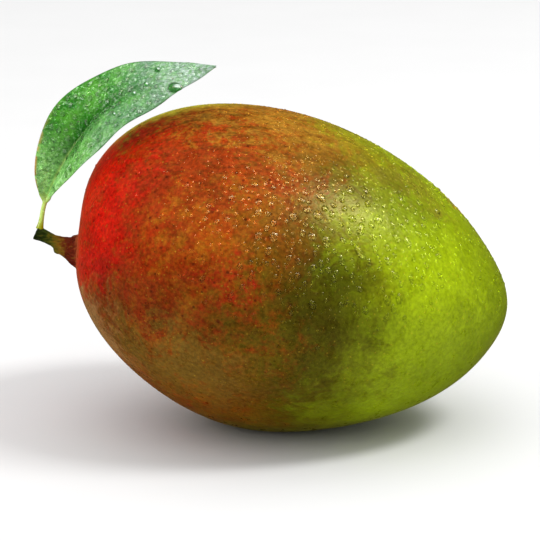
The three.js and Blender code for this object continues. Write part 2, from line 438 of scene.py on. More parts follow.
# X and Z where a level line from the front meets the skin, radius, stretch, turn from downhill in radians
LARGE_DROPS = [
    (21.6, 61.2, 1.25, 1.9, 0.5),
    (19.2, 75.7, 1.5, 1, 0),
    (25, 63.7, 0.8, 1.1, 0),
    (32.8, 64.5, 1.15, 1.1, 0.2),
    (34.4, 67.8, 0.95, 1, 0),
    (38.6, 69.4, 1.1, 1, 0),
    (27.3, 69.2, 0.8, 1.1, 0),
    (43.9, 63.7, 0.95, 1.2, 0.3),
    (39.6, 72, 0.8, 1.1, 0),
    (31.2, 54.7, 0.85, 1.2, 0.2),
    (29, 48.2, 1.1, 1.3, 0.3),
    (40.5, 43.8, 0.65, 1, 0),
    (17.9, 70.5, 0.95, 1.1, 0),
    (13.6, 72.9, 0.9, 1, 0),
    (8.7, 75.5, 0.85, 1.1, 0),
    (6.1, 81.1, 0.7, 1, 0),
    (-13.1, 51.3, 0.62, 2.7, -0.3),
    (-7.7, 56.6, 0.62, 2.5, -0.3),
    (-20, 70.5, 0.8, 1, 0),
]
LEAF_DROPS = [  # the same, on the leaf
    (-28.9, 100.6, 1.35, 1.6, 1.9),
    (-34, 104.6, 0.75, 1.2, 0),
    (-40.5, 98.5, 0.6, 1.1, 0),
    (-37, 101, 0.55, 1.3, 0),
    (-46, 93, 0.5, 1.1, 0),
]
FRUIT_DROPS = 6500
LEAF_FINE_DROPS = 2800
BEAD_RADIUS = 0.6  # drops from this size up throw a shadow
DROP_GAP = 1.05  # least distance between two drops, as a share of their reaches' sum
STRETCH_SPREAD = 0.22
TURN_SPREAD = 0.3
FRUIT_CONTACTS = (30, 46)  # degrees at which drops meet the skin
LEAF_CONTACTS = (44, 60)
DROP_SINK = 0.16  # depth of a drop's base below the skin, and its width, as shares of the radius
DROP_BASE = 0.9
DROP_WOBBLE = 0.09  # how far a drop's outline is from round
WOBBLE_CYCLE = 6.3  # one whole wave of it in radians, more or less
DROP_BELLY = 0.12  # how much wider its lower end is
LONG_DROP_RISE = 0.8  # how much taller long drops are
LONG_STRETCHES = (1.5, 1.9)  # stretches between which they grow taller
FRONT = -200  # Y from which level lines start
Drop = namedtuple("Drop", "point normal radius stretch turn")


def mesh_arrays(piece):
    """A piece's points in mm, its vertex normals, and the corners of its triangles."""
    mesh = piece.data
    mesh.calc_loop_triangles()
    corners = np.zeros(len(mesh.loop_triangles) * 3, int)
    mesh.loop_triangles.foreach_get("vertices", corners)
    points = np.zeros(len(mesh.vertices) * 3)
    mesh.vertices.foreach_get("co", points)
    normals = np.array([vertex.normal for vertex in mesh.vertices])
    return points.reshape(-1, 3) / MM, normals, corners.reshape(-1, 3)


def surface_samples(piece, count, random, density):
    """Random points of a piece, in mm, and their normals, as thick as density(points, normals) says."""
    points, normals, corners = mesh_arrays(piece)
    a, b, c = points[corners].transpose(1, 0, 2)
    areas = np.linalg.norm(np.cross(b - a, c - a), axis=1) / 2
    weights = areas * density((a + b + c) / 3, normalised(normals[corners].sum(axis=1)))
    chosen = random.choice(len(corners), size=count, p=weights / weights.sum())
    shares = random.dirichlet((1, 1, 1), size=count)[:, :, None]
    places = (points[corners[chosen]] * shares).sum(axis=1)
    return places, normalised((normals[corners[chosen]] * shares).sum(axis=1))


def met_from_front(piece, places):
    """Where level lines from the front meet a piece, and its normals there."""
    points, _, corners = mesh_arrays(piece)
    tree = BVHTree.FromPolygons(points.tolist(), corners.tolist())
    hits = [tree.ray_cast(Vector((x, FRONT, z)), Vector((0, 1, 0))) for x, z in places]
    return np.array([hit[0] for hit in hits]), np.array([hit[1] for hit in hits])


def keep_apart(drops):
    """The drops that stay when those touching a bigger one are taken away."""
    drops = sorted(drops, key=lambda drop: -drop.radius * drop.stretch)
    reaches = [drop.radius * drop.stretch for drop in drops]
    tree = tree_of([drop.point for drop in drops])
    kept = [True] * len(drops)
    for number, drop in enumerate(drops):
        if not kept[number]:
            continue
        for _, other, distance in tree.find_range(Vector(drop.point), reaches[number] + reaches[0]):
            if other > number and distance < DROP_GAP * (reaches[number] + reaches[other]):
                kept[other] = False
    return [drop for drop, stays in zip(drops, kept) if stays]


def beads(drops):
    return [drop for drop in drops if drop.radius >= BEAD_RADIUS]


def dew(drops):
    return [drop for drop in drops if drop.radius < BEAD_RADIUS]


def drop_template(sides, bands, contact):
    """A closed unit drop on the XY plane: a dome that meets it at the contact angle, and a sunk base."""
    rings = []
    for band in range(1, bands + 1):
        angle = contact * band / bands
        radius = math.sin(angle) / math.sin(contact)
        height = (math.cos(angle) - math.cos(contact)) / math.sin(contact)
        rings.append(circle(sides) * radius + (0, 0, height))
    rings.append(circle(sides) * DROP_BASE - (0, 0, DROP_SINK))
    top = (0, 0, (1 - math.cos(contact)) / math.sin(contact))
    points = np.vstack((top, *rings, (0, 0, -DROP_SINK)))
    faces = []
    for j in range(sides):
        k = (j + 1) % sides
        faces.append((0, 1 + j, 1 + k))
        for row in range(1, 1 + bands * sides, sides):
            faces.append((row + j, row + sides + j, row + sides + k))
            faces.append((row + j, row + sides + k, row + k))
        faces.append((len(points) - 1, 1 + bands * sides + k, 1 + bands * sides + j))
    return points, np.array(faces)


def spray(piece, named, count, random, density, radius_of):
    """The named drops of a piece, and count random ones, less those that would touch."""
    hits, hit_normals = met_from_front(piece, [(x, z) for x, z, *_ in named])
    points, normals = surface_samples(piece, count, random, density)
    stretches = 1 + abs(random.normal(0, STRETCH_SPREAD, count))
    turns = random.normal(0, TURN_SPREAD, count)
    drops = [Drop(hit, normal, *rest) for hit, normal, (_, _, *rest) in zip(hits, hit_normals, named)]
    drops.extend(map(Drop, points, normals, radius_of(points, normals, random), stretches, turns))
    return keep_apart(drops)


def make_drops(name, drops, contacts, random, material):
    """One piece with a closed body of water for each drop."""
    all_points = []
    all_faces = []
    start = 0
    for point, normal, radius, stretch, turn in drops:
        sides, bands = next((s, b) for largest, s, b in DROP_GRADES if radius <= largest)
        template, faces = drop_template(sides, bands, math.radians(random.uniform(*contacts)))
        downhill = np.array((0, 0, -1)) + normal * normal[2] + (1e-3, 0, 0)  # level skin has one too
        downhill = normalised(downhill - normal * downhill.dot(normal))
        sideways = np.cross(normal, downhill)
        down = downhill * math.cos(turn) + sideways * math.sin(turn)
        across = np.cross(normal, down)
        around = np.arctan2(template[:, 1], template[:, 0])
        wobble = 1 + DROP_WOBBLE * np.cos(2 * around + random.uniform(0, WOBBLE_CYCLE))
        fuller = 1 + DROP_BELLY * template[:, 0]
        taller = np.full(len(template), 1 + LONG_DROP_RISE * smoothstep(stretch, *LONG_STRETCHES))
        local = template * radius * np.column_stack((wobble * stretch, wobble * fuller, taller))
        all_points.append(point + local @ np.array((down, across, normal)))
        all_faces.append(faces + start)
        start += len(template)
    return new_piece(name, np.vstack(all_points), np.vstack(all_faces).tolist(), material)


def fruit_wetness(points, normals):
    """Spray from above: most drops lie on the upper side, from the middle towards the tip."""
    from_stem = lerp(0.08, 1, smoothstep(points[:, 0], -38, 12))
    to_tip = lerp(1, 0.25, smoothstep(points[:, 0], 38, 52))
    return smoothstep(normals[:, 2], -0.3, 0.65) * from_stem * to_tip


def fruit_drop_radii(points, normals, random):
    """Around 0.46 mm, larger where it is wetter and finer where the skin is level."""
    radii = np.clip(random.lognormal(math.log(0.46), 0.42, len(points)), 0.2, 1.2)
    finer = lerp(1, 0.35, smoothstep(normals[:, 2], 0.65, 0.88))
    return radii * lerp(0.5, 1.15, fruit_wetness(points, normals)) * finer


def leaf_wetness(margins):
    """A function for how thick spray lies on the leaf: on its upper face, off its margins."""
    margin_tree = tree_of(margins)

    def wetness(points, normals):
        from_margin = np.array([margin_tree.find(Vector(point))[2] for point in points])
        on_face = smoothstep(normals @ np.array((-0.3, -0.7, 0.6)), 0.1, 0.6)
        return on_face * smoothstep(from_margin, 0.5, 1.2)

    return wetness


def leaf_drop_radii(points, normals, random):
    """Around 0.36 mm everywhere."""
    return np.clip(random.lognormal(math.log(0.36), 0.4, len(points)), 0.2, 0.8)


# ---- finishes ----
def srgb(red, green, blue):
    """A shader colour from 0 to 255 screen values."""
    linear = [((c / 255 + 0.055) / 1.055) ** 2.4 if c > 10.3 else c / 255 / 12.92 for c in (red, green, blue)]
    return (*linear, 1)


class Nodes:
    """The nodes of a material or a world, with a short call for each kind."""

    def __init__(self, owner, shader):
        owner.use_nodes = True
        self.owner = owner
        self.tree = owner.node_tree
        self.shader = self.tree.nodes[shader]

    def feed(self, socket, value):
        if isinstance(value, bpy.types.NodeSocket):
            self.tree.links.new(value, socket)
        else:
            socket.default_value = value

    def surface(self, **values):
        """Feeds the shader's inputs, named with _ for a space."""
        for name, value in values.items():
            self.feed(self.shader.inputs[name.replace("_", " ")], value)

    def add(self, kind, inputs, **settings):
        """The outputs of a new node with these settings, whose inputs are fed by number or by name."""
        node = self.tree.nodes.new("ShaderNode" + kind)
        for name, value in settings.items():
            setattr(node, name, value)
        for key, value in inputs.items():
            self.feed(node.inputs[key], value)
        return node.outputs

    def math(self, operation, *values):
        return self.add("Math", dict(enumerate(values)), operation=operation)[0]

    def times(self, first, *others):
        for value in others:
            first = self.math("MULTIPLY", first, value)
        return first

    def blend(self, factor, first, second):
        """A number between first and second."""
        return self.math("ADD", first, self.times(factor, self.math("SUBTRACT", second, first)))

    def step(self, value, low, high, start=0, end=1):
        """A smooth passage from start to end as value goes from low to high."""
        inputs = dict(enumerate((value, low, high, start, end)))
        return self.add("MapRange", inputs, interpolation_type="SMOOTHSTEP")[0]

    def mix(self, factor, first, second):
        """A colour between first and second."""
        return self.add("Mix", {0: factor, 6: first, 7: second}, data_type="RGBA")[2]

    def paint(self, colour, tone, *covers):
        """The colour with a screen colour over it, as dense as the product of covers."""
        return self.mix(self.times(*covers), colour, srgb(*tone))

    def vector(self, operation, *values):
        outputs = self.add("VectorMath", dict(enumerate(values)), operation=operation)
        return outputs["Value" if operation in ("DISTANCE", "LENGTH", "DOT_PRODUCT") else "Vector"]

    def split(self, vector):
        return self.add("SeparateXYZ", {0: vector})

    def noise(self, place, size, detail=2, roughness=0.5, output="Fac"):
        inputs = {"Vector": place, "Scale": 1 / size, "Detail": detail, "Roughness": roughness}
        return self.add("TexNoise", inputs)[output]

    def dots(self, place, spacing, smallest, largest):
        """1 inside scattered dots whose radii, as shares of their spacing, lie between two values."""
        cells = self.add("TexVoronoi", {"Vector": place, "Scale": 1 / spacing})
        tone = self.split(cells["Color"])[0]
        radius = self.math("MULTIPLY_ADD", tone, largest - smallest, smallest)
        return self.step(cells["Distance"], self.times(radius, 0.25), radius, 1, 0)

    def patch(self, place, centre, half_sizes, strength, fade=(0.2, 1.3)):
        """Strength inside an ellipsoid, which fades away around its surface."""
        offset = self.vector("DIVIDE", self.vector("SUBTRACT", place, centre), half_sizes)
        return self.step(self.vector("LENGTH", offset), *fade, strength, 0)

    def bump(self, height, distance):
        return self.add("Bump", {"Distance": distance * MM, "Height": height})[0]

    def ramp_over(self, value, stops):
        """The colour at a value, from a row of (value, screen colour) pairs."""
        node = self.tree.nodes.new("ShaderNodeValToRGB")
        elements = node.color_ramp.elements
        while len(elements) < len(stops):
            elements.new(1)
        first = stops[0][0]
        span = stops[-1][0] - first
        for element, (at, colour) in zip(elements, stops):
            element.position = (at - first) / span
            element.color = srgb(*colour)
        self.feed(node.inputs[0], self.math("MULTIPLY_ADD", value, 1 / span, -first / span))
        return node.outputs["Color"]

    def place_in(self, centre=(0, 0, 0), turn=0):
        """The surface point in mm, in a frame that stands at centre and is turned about Y."""
        inputs = {
            "Vector": self.add("TexCoord", {})["Object"],
            "Location": tuple(np.array(centre) * MM),
            "Rotation": (0, turn, 0),
            "Scale": (MM, MM, MM),
        }
        return self.add("Mapping", inputs, vector_type="TEXTURE")[0]


def new_finish(name):
    return Nodes(bpy.data.materials.new(name), "Principled BSDF")


GROUND_ALONG = [  # body X and the colour of the ripening skin there, from the stem to the tip
    (-61, (168, 72, 6)),
    (-34, (160, 88, 8)),
    (-12, (138, 79, 8)),
    (0, (118, 79, 8)),
    (7, (106, 92, 8)),
    (16, (124, 132, 8)),
    (32, (138, 158, 6)),
    (62, (112, 130, 3)),
]
BLUSH_ALONG = [  # and of the red blush over it
    (-61, (210, 10, 1)),
    (-53, (190, 12, 1)),
    (-45, (158, 38, 3)),
    (-34, (148, 44, 2)),
    (-20, (154, 48, 3)),
    (-6, (140, 58, 5)),
    (6, (112, 56, 6)),
    (60, (140, 46, 8)),
]
BLUSH_THINS = (-62, 22)  # body X between which the blush gives way to the ground colour
BLUSH_COVER = (0.95, 0)  # share of the skin that it covers on either side
BRIGHT_GREEN = (150, 172, 6)
YELLOW_GREEN = (138, 142, 14)
PALE_GREEN = (166, 162, 40)
TAN = (160, 112, 30)
PALE_TAN = (178, 132, 78)
GREY_TAN = (118, 92, 30)
DARK_OLIVE = (84, 78, 5)
DULL_BROWN = (122, 60, 12)
RUST = (150, 84, 20)
CRIMSON = (170, 18, 10)
BEHIND_LEAF = ((-46, 10, 38), (28, 17, 20))  # places of patches: centre and half sizes in the body frame
FRONT_BLOTCH = ((-21, -47, 8), (10, 8, 7))
GROUND_PATCHES = [  # place, colour, strength
    ((42, -32, 16), (20, 19, 18), BRIGHT_GREEN, 0.85),  # bright cheek by the tip
    (*BEHIND_LEAF, PALE_GREEN, 0.95),
    ((-14, -6, 47), (34, 24, 10), TAN, 0.9),  # tan crown
    ((10, 0, 46), (16, 14, 8), YELLOW_GREEN, 0.8),  # green crown
    ((24, -12, 37), (20, 13, 9), GREY_TAN, 0.6),  # cloud on the green crown
    ((-30, -39, -22), (32, 26, 16), GREY_TAN, 0.85),  # greyish foot of the front: painted reflection of the pale floor
    ((-50, -15, -22), (17, 17, 18), PALE_TAN, 0.8),  # and its pale end below the stem, painted floor reflection too
    ((4, -49, -2), (28, 24, 20), DARK_OLIVE, 0.8),  # dark olive front
    ((17, -39, 22), (12, 12, 9), BRIGHT_GREEN, 0.45),  # green above it, partly painted highlight that carries the key light's glow further down
    ((12, 4, -44), (50, 42, 18), YELLOW_GREEN, 0.6),  # underside
]
BLUSH_PATCHES = [  # place, share of the skin that blush covers, strength
    ((-14, -9, 47), (36, 22, 10), 0.2, 0.8),  # crown
    (*BEHIND_LEAF, 0, 1),
    ((-32, -27, 33), (22, 16, 11), 0.95, 0.9),  # orange-red above the front
    ((-8, -32, 33), (15, 8, 8), 0.8, 0.9),
    ((-36, -43, 2), (14, 12, 10), 0.85, 0.7),  # brick-red flank
    ((-36, -40, 18), (14, 12, 10), 0.45, 0.7),  # golden flank
    ((-14, -49, -5), (24, 12, 14), 0.4, 0.7),  # brown front
    (*FRONT_BLOTCH, 0.62, 0.8),
    ((-52, -27, -10), (12, 14, 9), 0.5, 0.8),  # brown below the stem
    ((-30, -39, -22), (32, 26, 15), 0.08, 0.95),  # greyish foot: little blush here and in the next row, under the painted floor reflection
    ((-50, -15, -24), (17, 17, 17), 0.05, 0.95),
    ((-22, 30, -6), (42, 26, 24), 0.65, 0.6),  # back cheek
    ((45, 14, 30), (20, 15, 15), 0.5, 0.95),  # behind the tip
    ((20, 26, 28), (28, 16, 16), 0.42, 0.8),  # and on to the back cheek
]
BLUSH_TONES = [  # place, colour of the blush there, strength
    ((-42, -34, -17), (26, 22, 14), DULL_BROWN, 0.85),  # foot of the front
    (*FRONT_BLOTCH, CRIMSON, 0.9),
    ((45, 14, 30), (24, 18, 18), RUST, 0.7),  # behind the tip
]
PAINTED_SHADE_PATCHES = [  # place, how much darker the skin is painted: painted shade on the lower front and underside, where less light falls, and in a few places the skin's own darker tone
    ((5, -47, 10), (16, 14, 14), 0.42),
    ((12, -46, -2), (14, 14, 15), 0.22),
    ((12, -44, 15.5), (13, 10, 6.5), 0.38),
    ((22, -43, 3), (13, 10, 8), 0.28),
    ((-3, -41, 24), (11, 12, 8), 0.15),
    ((26, -23, 34), (14, 12, 10), 0.24),
    ((6, -38, -22), (24, 18, 16), 0.3),
    ((-22, -47, 0), (24, 16, 14), 0.3),
    ((-48, -33, -8), (18, 18, 16), 0.3),
    ((-40, -12, 38), (14, 12, 10), 0.1),
]
CROWN_VEIL_AND_RIM_LIGHT = ((-45, 9, 40), (29, 12, 17), 0.9)  # smooth green rim by the leaf, its own green made brighter as painted rim light: place, strength
VEIL_AND_RIM_LIGHT_COLOUR = (212, 208, 56)
FRAYS = [  # size of the noise and its push in mm, detail and roughness
    (16, 26, 2, 0.5),
    (3, 32, 4, 0.65),
]
MOTTLE_SIZE = 3.4
COVER_SWING = 0.36  # how far full cover moves the mottle's threshold
COVER_EDGE = 0.15
PORE_SPACING = 2.3
FRECKLE_SPACING = 5.2
SPECK_SPACING = 1.3
PORE_COLOUR = (80, 16, 4)
FRECKLE_COLOUR = (150, 20, 6)
SPECK_COLOUR = (204, 168, 40)
STREAK_COLOUR = (74, 46, 6)
STEM_SEAT_COLOUR = (96, 22, 8)


def warped(nodes, place):
    """The place, pushed about by broad and fine noise, so that colours meet in frayed edges."""
    for size, push, detail, roughness in FRAYS:
        drift = nodes.noise(place, size, detail=detail, roughness=roughness, output="Color")
        drift = nodes.vector("SUBTRACT", drift, (0.5, 0.5, 0.5))
        place = nodes.vector("ADD", place, nodes.vector("MULTIPLY", drift, (push, push, push)))
    return place


def patched(nodes, place, colour, patches):
    """The colour with patches of other colours over it."""
    for centre, half_sizes, patch_colour, strength in patches:
        colour = nodes.paint(colour, patch_colour, nodes.patch(place, centre, half_sizes, strength))
    return colour


def skin_colour(nodes, place, pores):
    """Green-gold ground under a mottled red blush that is thick at the stem and gone at the tip."""
    frayed = warped(nodes, place)
    x = nodes.split(frayed)[0]
    ground = patched(nodes, frayed, nodes.ramp_over(x, GROUND_ALONG), GROUND_PATCHES)
    cover = nodes.step(x, *BLUSH_THINS, *BLUSH_COVER)
    for centre, half_sizes, share, strength in BLUSH_PATCHES:
        cover = nodes.blend(nodes.patch(frayed, centre, half_sizes, strength), cover, share)

    lengthwise = nodes.vector("MULTIPLY", place, (0.8, 1, 1))
    mottle = nodes.noise(lengthwise, MOTTLE_SIZE, detail=6, roughness=0.8)
    mottle = nodes.math("ADD", mottle, nodes.math("MULTIPLY_ADD", cover, COVER_SWING, -COVER_SWING / 2))
    blush = nodes.step(mottle, 0.5 - COVER_EDGE, 0.5 + COVER_EDGE)
    blush = nodes.times(blush, nodes.step(cover, 0.02, 0.25))
    red = patched(nodes, frayed, nodes.ramp_over(x, BLUSH_ALONG), BLUSH_TONES)
    colour = nodes.mix(blush, ground, red)
    # The green rim by the leaf: the skin's own green, brightened as painted rim light.
    colour = nodes.paint(colour, VEIL_AND_RIM_LIGHT_COLOUR, nodes.patch(place, *CROWN_VEIL_AND_RIM_LIGHT))
    return skin_marks(nodes, place, pores, colour, cover)


def skin_marks(nodes, place, pores, colour, cover):
    """Adds lengthwise streaks, freckles, dark pores and pale specks, painted shade, and the ring around the
    stem.
    """
    streaks = nodes.noise(nodes.vector("MULTIPLY", place, (0.22, 1, 1)), 1.7, detail=3, roughness=0.6)
    streaks = nodes.step(streaks, 0.48, 0.66)
    on_crown = nodes.step(nodes.split(place)[2], 22, 42, 0.12, 0.62)
    by_stem = nodes.step(nodes.split(place)[0], 16, -24, 0.3, 1)
    colour = nodes.paint(colour, STREAK_COLOUR, streaks, on_crown, by_stem)
    freckles = nodes.dots(place, FRECKLE_SPACING, 0.06, 0.2)
    colour = nodes.paint(colour, FRECKLE_COLOUR, freckles, nodes.step(cover, 0.15, 0.6, 0, 0.8))
    colour = nodes.paint(colour, PORE_COLOUR, pores, nodes.step(cover, 0, 0.5, 0.1, 0.75))
    colour = nodes.paint(colour, SPECK_COLOUR, nodes.dots(place, SPECK_SPACING, 0.08, 0.26), 0.4)
    colour = nodes.vector("MULTIPLY", colour, skin_light(nodes, place, cover))
    around_stem = nodes.vector("DISTANCE", place, STEM_FOOT_IN_BODY)
    return nodes.paint(colour, STEM_SEAT_COLOUR, nodes.step(around_stem, 3.5, 8.5, 0.85, 0))


def skin_light(nodes, place, cover):
    """How light the skin is: cloudy, and darker in its patches of painted shade."""
    fine = nodes.step(nodes.noise(place, 1, detail=3, roughness=0.6), 0.3, 0.7, -0.27, 0.27)
    broad = nodes.step(nodes.noise(place, 8, detail=3), 0.3, 0.7, -0.16, 0.16)
    swing = nodes.step(cover, 0, 0.35, 0.6, 1)
    light = nodes.math("MULTIPLY_ADD", nodes.math("ADD", fine, broad), swing, 1)
    # Painted shade, with some of the skin's own darker tone: each patch darkens the colour.
    for centre, half_sizes, darker in PAINTED_SHADE_PATCHES:
        shade = nodes.patch(place, centre, half_sizes, darker)
        light = nodes.times(light, nodes.math("SUBTRACT", 1, shade))
    return light


def skin_finish():
    """Waxy, faintly pitted skin, whose tinted gloss keeps its colours deep."""
    nodes = new_finish("mango_skin")
    place = nodes.place_in(FRUIT_CENTRE, -FRUIT_TILT)
    pits = nodes.noise(place, 1.3, detail=3, roughness=0.6)
    pores = nodes.dots(nodes.vector("ADD", place, (3, 5, 7)), PORE_SPACING, 0.1, 0.3)
    height = nodes.math("SUBTRACT", pits, nodes.times(pores, 0.4))
    nodes.surface(
        Base_Color=skin_colour(nodes, place, pores),
        Roughness=nodes.step(nodes.noise(place, 4, detail=3), 0.3, 0.7, 0.27, 0.38),
        Normal=nodes.bump(height, 0.12),
        Specular_IOR_Level=0.4,
        Specular_Tint=(1, 0.96, 0.3, 1),
        Sheen_Weight=0.15,
        Sheen_Roughness=0.25,
        Sheen_Tint=(1, 0.8, 0.25, 1),
    )
    return nodes.owner


BARK_ALONG = [  # X and the bark's colour there, from the cut end to the fruit
    (-70, (22, 42, 6)),
    (-66.5, (38, 64, 10)),
    (-64.5, (96, 94, 14)),
    (-62.5, (128, 90, 12)),
    (-60.8, (104, 26, 3)),
    (-58.6, (108, 16, 2)),
    (-57, (176, 78, 36)),
]
FIBRE_COLOUR = (170, 140, 50)
CREVICE_COLOUR = (22, 18, 4)
WART_COLOUR = (176, 140, 60)


def bark_finish():
    """Green-black at the cut end, olive-brown, then maroon at the fruit, with pale fibres and warts."""
    nodes = new_finish("stem_bark")
    place = nodes.place_in()
    frayed = nodes.step(nodes.noise(place, 1.2, detail=3), 0.2, 0.8, -1.2, 1.2)
    colour = nodes.ramp_over(nodes.math("ADD", nodes.split(place)[0], frayed), BARK_ALONG)
    fibres = nodes.noise(nodes.vector("MULTIPLY", place, (0.25, 1, 1)), 0.6, detail=3, roughness=0.6)
    colour = nodes.paint(colour, FIBRE_COLOUR, nodes.step(fibres, 0.54, 0.75, 0, 0.35))
    colour = nodes.paint(colour, CREVICE_COLOUR, nodes.step(fibres, 0.48, 0.3, 0, 0.6))
    warts = nodes.dots(place, 0.8, 0.1, 0.24)
    colour = nodes.paint(colour, WART_COLOUR, warts, 0.3)
    height = nodes.math("ADD", fibres, nodes.times(warts, 0.4))
    nodes.surface(
        Base_Color=colour,
        Roughness=nodes.step(fibres, 0.3, 0.7, 0.4, 0.6),
        Normal=nodes.bump(height, 0.25),
        Specular_IOR_Level=0.25,
        Specular_Tint=(1, 0.8, 0.4, 1),
    )
    return nodes.owner


BLADE_GREENS = ((30, 110, 16), (76, 148, 40))
VALLEY_SHADE_COLOUR = (24, 100, 4)
VEIN_COLOUR = (120, 180, 92)
DEW_AND_SHEEN_COLOURS = ((172, 236, 136), (160, 178, 168))  # pale dew and painted sheen, by the foot, and towards the tip
FLECK_AND_GLINT_COLOUR = (198, 220, 194)
PAINTED_DEW_SHADOW_COLOUR = (30, 108, 20)
UNDER_DROP_SHADE_COLOUR = (22, 104, 10)
PAINTED_GLINT_COLOUR = (214, 232, 220)
RIB_COLOUR = (172, 208, 110)
UNDERSIDE_COLOUR = (128, 164, 88)
DRY_RIM_COLOUR = (180, 128, 52)
BLADE_FOOT_COLOUR = (182, 208, 96)
STALK_COLOUR = (150, 158, 18)
LEAF_DEPTH = 9  # how far the blade is in front of the fruit's middle, more or less


def blade_greens(nodes, place, along, aside):
    """Cloudy green, with painted shade in the valley along the midrib, and faint veins."""
    edgeward = nodes.math("ABSOLUTE", aside)
    clouds = nodes.step(nodes.noise(place, 6, detail=4, roughness=0.6), 0.35, 0.65)
    colour = nodes.mix(clouds, *(srgb(*green) for green in BLADE_GREENS))
    # Painted shade in the fold along the midrib.
    valley = nodes.step(edgeward, 0.36, 0.02, 0, 0.9)
    colour = nodes.paint(colour, VALLEY_SHADE_COLOUR, valley, nodes.step(along, 0.9, 0.5))

    swept = nodes.times(nodes.math("POWER", edgeward, VEIN_CURVE), VEINS * VEIN_SWEEP)
    turn = nodes.math("SUBTRACT", nodes.times(along, VEINS), swept)
    turn = nodes.math("ADD", turn, nodes.times(nodes.math("GREATER_THAN", aside, 0), 0.5))
    between = nodes.math("ABSOLUTE", nodes.math("MULTIPLY_ADD", nodes.math("FRACT", turn), 2, -1))
    veins = nodes.step(between, 0.8, 0.97, 0, 0.2)
    return nodes.paint(colour, VEIN_COLOUR, veins, nodes.step(edgeward, 1, 0.6))


def blade_dew(nodes, place, along, aside, flecks, colour):
    """Adds fine dew as a pale film with painted sheen, thickest on the lower half, by the foot and towards
    the tip, with pale flecks that are partly painted glints and painted shadows beside them.
    """
    film = nodes.step(aside, 0.1, -0.5, 0, 0.3)
    film = nodes.math("MAXIMUM", film, nodes.step(along, 0.5, 0.95, 0, 0.9))
    film = nodes.math("MAXIMUM", film, nodes.step(along, 0.34, 0.06, 0, 0.9))
    mist = nodes.noise(place, 1.1, detail=4, roughness=0.7)
    film = nodes.times(film, nodes.step(mist, 0.42, 0.6, 0.4, 1))
    dew_and_sheen_colour = nodes.mix(nodes.step(along, 0.2, 0.6), *(srgb(*tone) for tone in DEW_AND_SHEEN_COLOURS))
    colour = nodes.mix(film, colour, dew_and_sheen_colour)
    # Pale flecks of dew, partly painted glints.
    colour = nodes.paint(colour, FLECK_AND_GLINT_COLOUR, flecks, nodes.math("MULTIPLY_ADD", film, 0.57, 0.03))
    # Painted shadows beside the dew.
    shadows = nodes.dots(nodes.vector("MULTIPLY", place, (0.6, 1, 1)), 0.9, 0.15, 0.42)
    return nodes.paint(colour, PAINTED_DEW_SHADOW_COLOUR, shadows, nodes.math("MULTIPLY_ADD", film, 0.65, 0.3))


def under_leaf_drops(nodes, place, colour):
    """Paints shade on the blade under its large drops, and a painted glint at their upper right. Also, where
    it is dry.
    """
    dry = 1
    for x, z, radius, stretch, _ in LEAF_DROPS:
        reach = radius * stretch
        half_sizes = (reach, LEAF_DEPTH, radius)
        under_drop = nodes.patch(place, (x, -LEAF_DEPTH, z), half_sizes, 0.97, fade=(0.8, 1.1))
        # Painted shade under the drop.
        colour = nodes.paint(colour, UNDER_DROP_SHADE_COLOUR, under_drop)
        # Painted glint at the drop's upper right.
        glint_at = (x + 0.35 * reach, -LEAF_DEPTH, z + 0.4 * radius)
        half_sizes = (0.62 * reach, LEAF_DEPTH, 0.44 * radius)
        glint = nodes.patch(place, glint_at, half_sizes, 0.9, fade=(0.3, 1.2))
        colour = nodes.paint(colour, PAINTED_GLINT_COLOUR, glint)
        dry = nodes.times(dry, nodes.math("SUBTRACT", 1, under_drop))
    return colour, dry


def blade_finish():
    """Leathery green blade with veins, a film of dew with painted sheen and glints, painted shade in the
    midrib's valley and under large drops, a yellow stalk and a dull underside.
    """
    nodes = new_finish("leaf_blade")
    place = nodes.place_in()
    leaf_place = nodes.add("Attribute", {}, attribute_name="leaf_place")["Vector"]
    along, aside, underside = nodes.split(leaf_place)[:3]
    flecks = nodes.dots(place, 0.62, 0.14, 0.42)
    net = nodes.noise(place, 1.6, detail=3)
    colour = blade_greens(nodes, place, along, aside)
    colour = blade_dew(nodes, place, along, aside, flecks, colour)
    colour, dry = under_leaf_drops(nodes, place, colour)

    rib_width = nodes.step(along, 0, 0.4, 0.16, 0.02)
    rib = nodes.step(nodes.math("ABSOLUTE", aside), rib_width, 0)
    colour = nodes.paint(colour, RIB_COLOUR, rib, nodes.step(along, 0.42, 0.12, 0.06, 0.9))
    colour = nodes.paint(colour, UNDERSIDE_COLOUR, underside, 0.65)
    by_margin = nodes.step(aside, 0.84, 0.98)
    by_foot = nodes.step(along, 0.4, 0.1)
    colour = nodes.paint(colour, DRY_RIM_COLOUR, by_margin, by_foot, nodes.step(net, 0.35, 0.6))
    colour = nodes.paint(colour, BLADE_FOOT_COLOUR, nodes.step(along, 0.06, 0))
    colour = nodes.paint(colour, STALK_COLOUR, nodes.step(nodes.split(place)[2], 62, 58))

    ripples = nodes.noise(nodes.vector("MULTIPLY", place, (0.7, 1, 1)), 1.5, detail=1.5)
    height = nodes.math("MULTIPLY_ADD", flecks, 0.25, ripples)
    height = nodes.times(height, dry, nodes.step(along, 0, 0.1))
    nodes.surface(
        Base_Color=colour,
        Roughness=nodes.blend(dry, 1, nodes.step(net, 0.3, 0.7, 0.16, 0.28)),
        Normal=nodes.bump(height, 0.7),
        Specular_IOR_Level=0.9,
    )
    return nodes.owner


def water_finish():
    """Clear water, a little uneven."""
    nodes = new_finish("water")
    place = nodes.place_in()
    nodes.surface(
        Base_Color=(0.98, 0.98, 0.96, 1),
        Roughness=nodes.step(nodes.noise(place, 0.7), 0.3, 0.7, 0.07, 0.13),
        IOR=1.36,
        Transmission_Weight=1,
        Specular_IOR_Level=0.9,
        Specular_Tint=(1, 0.85, 0.52, 1),
    )
    return nodes.owner


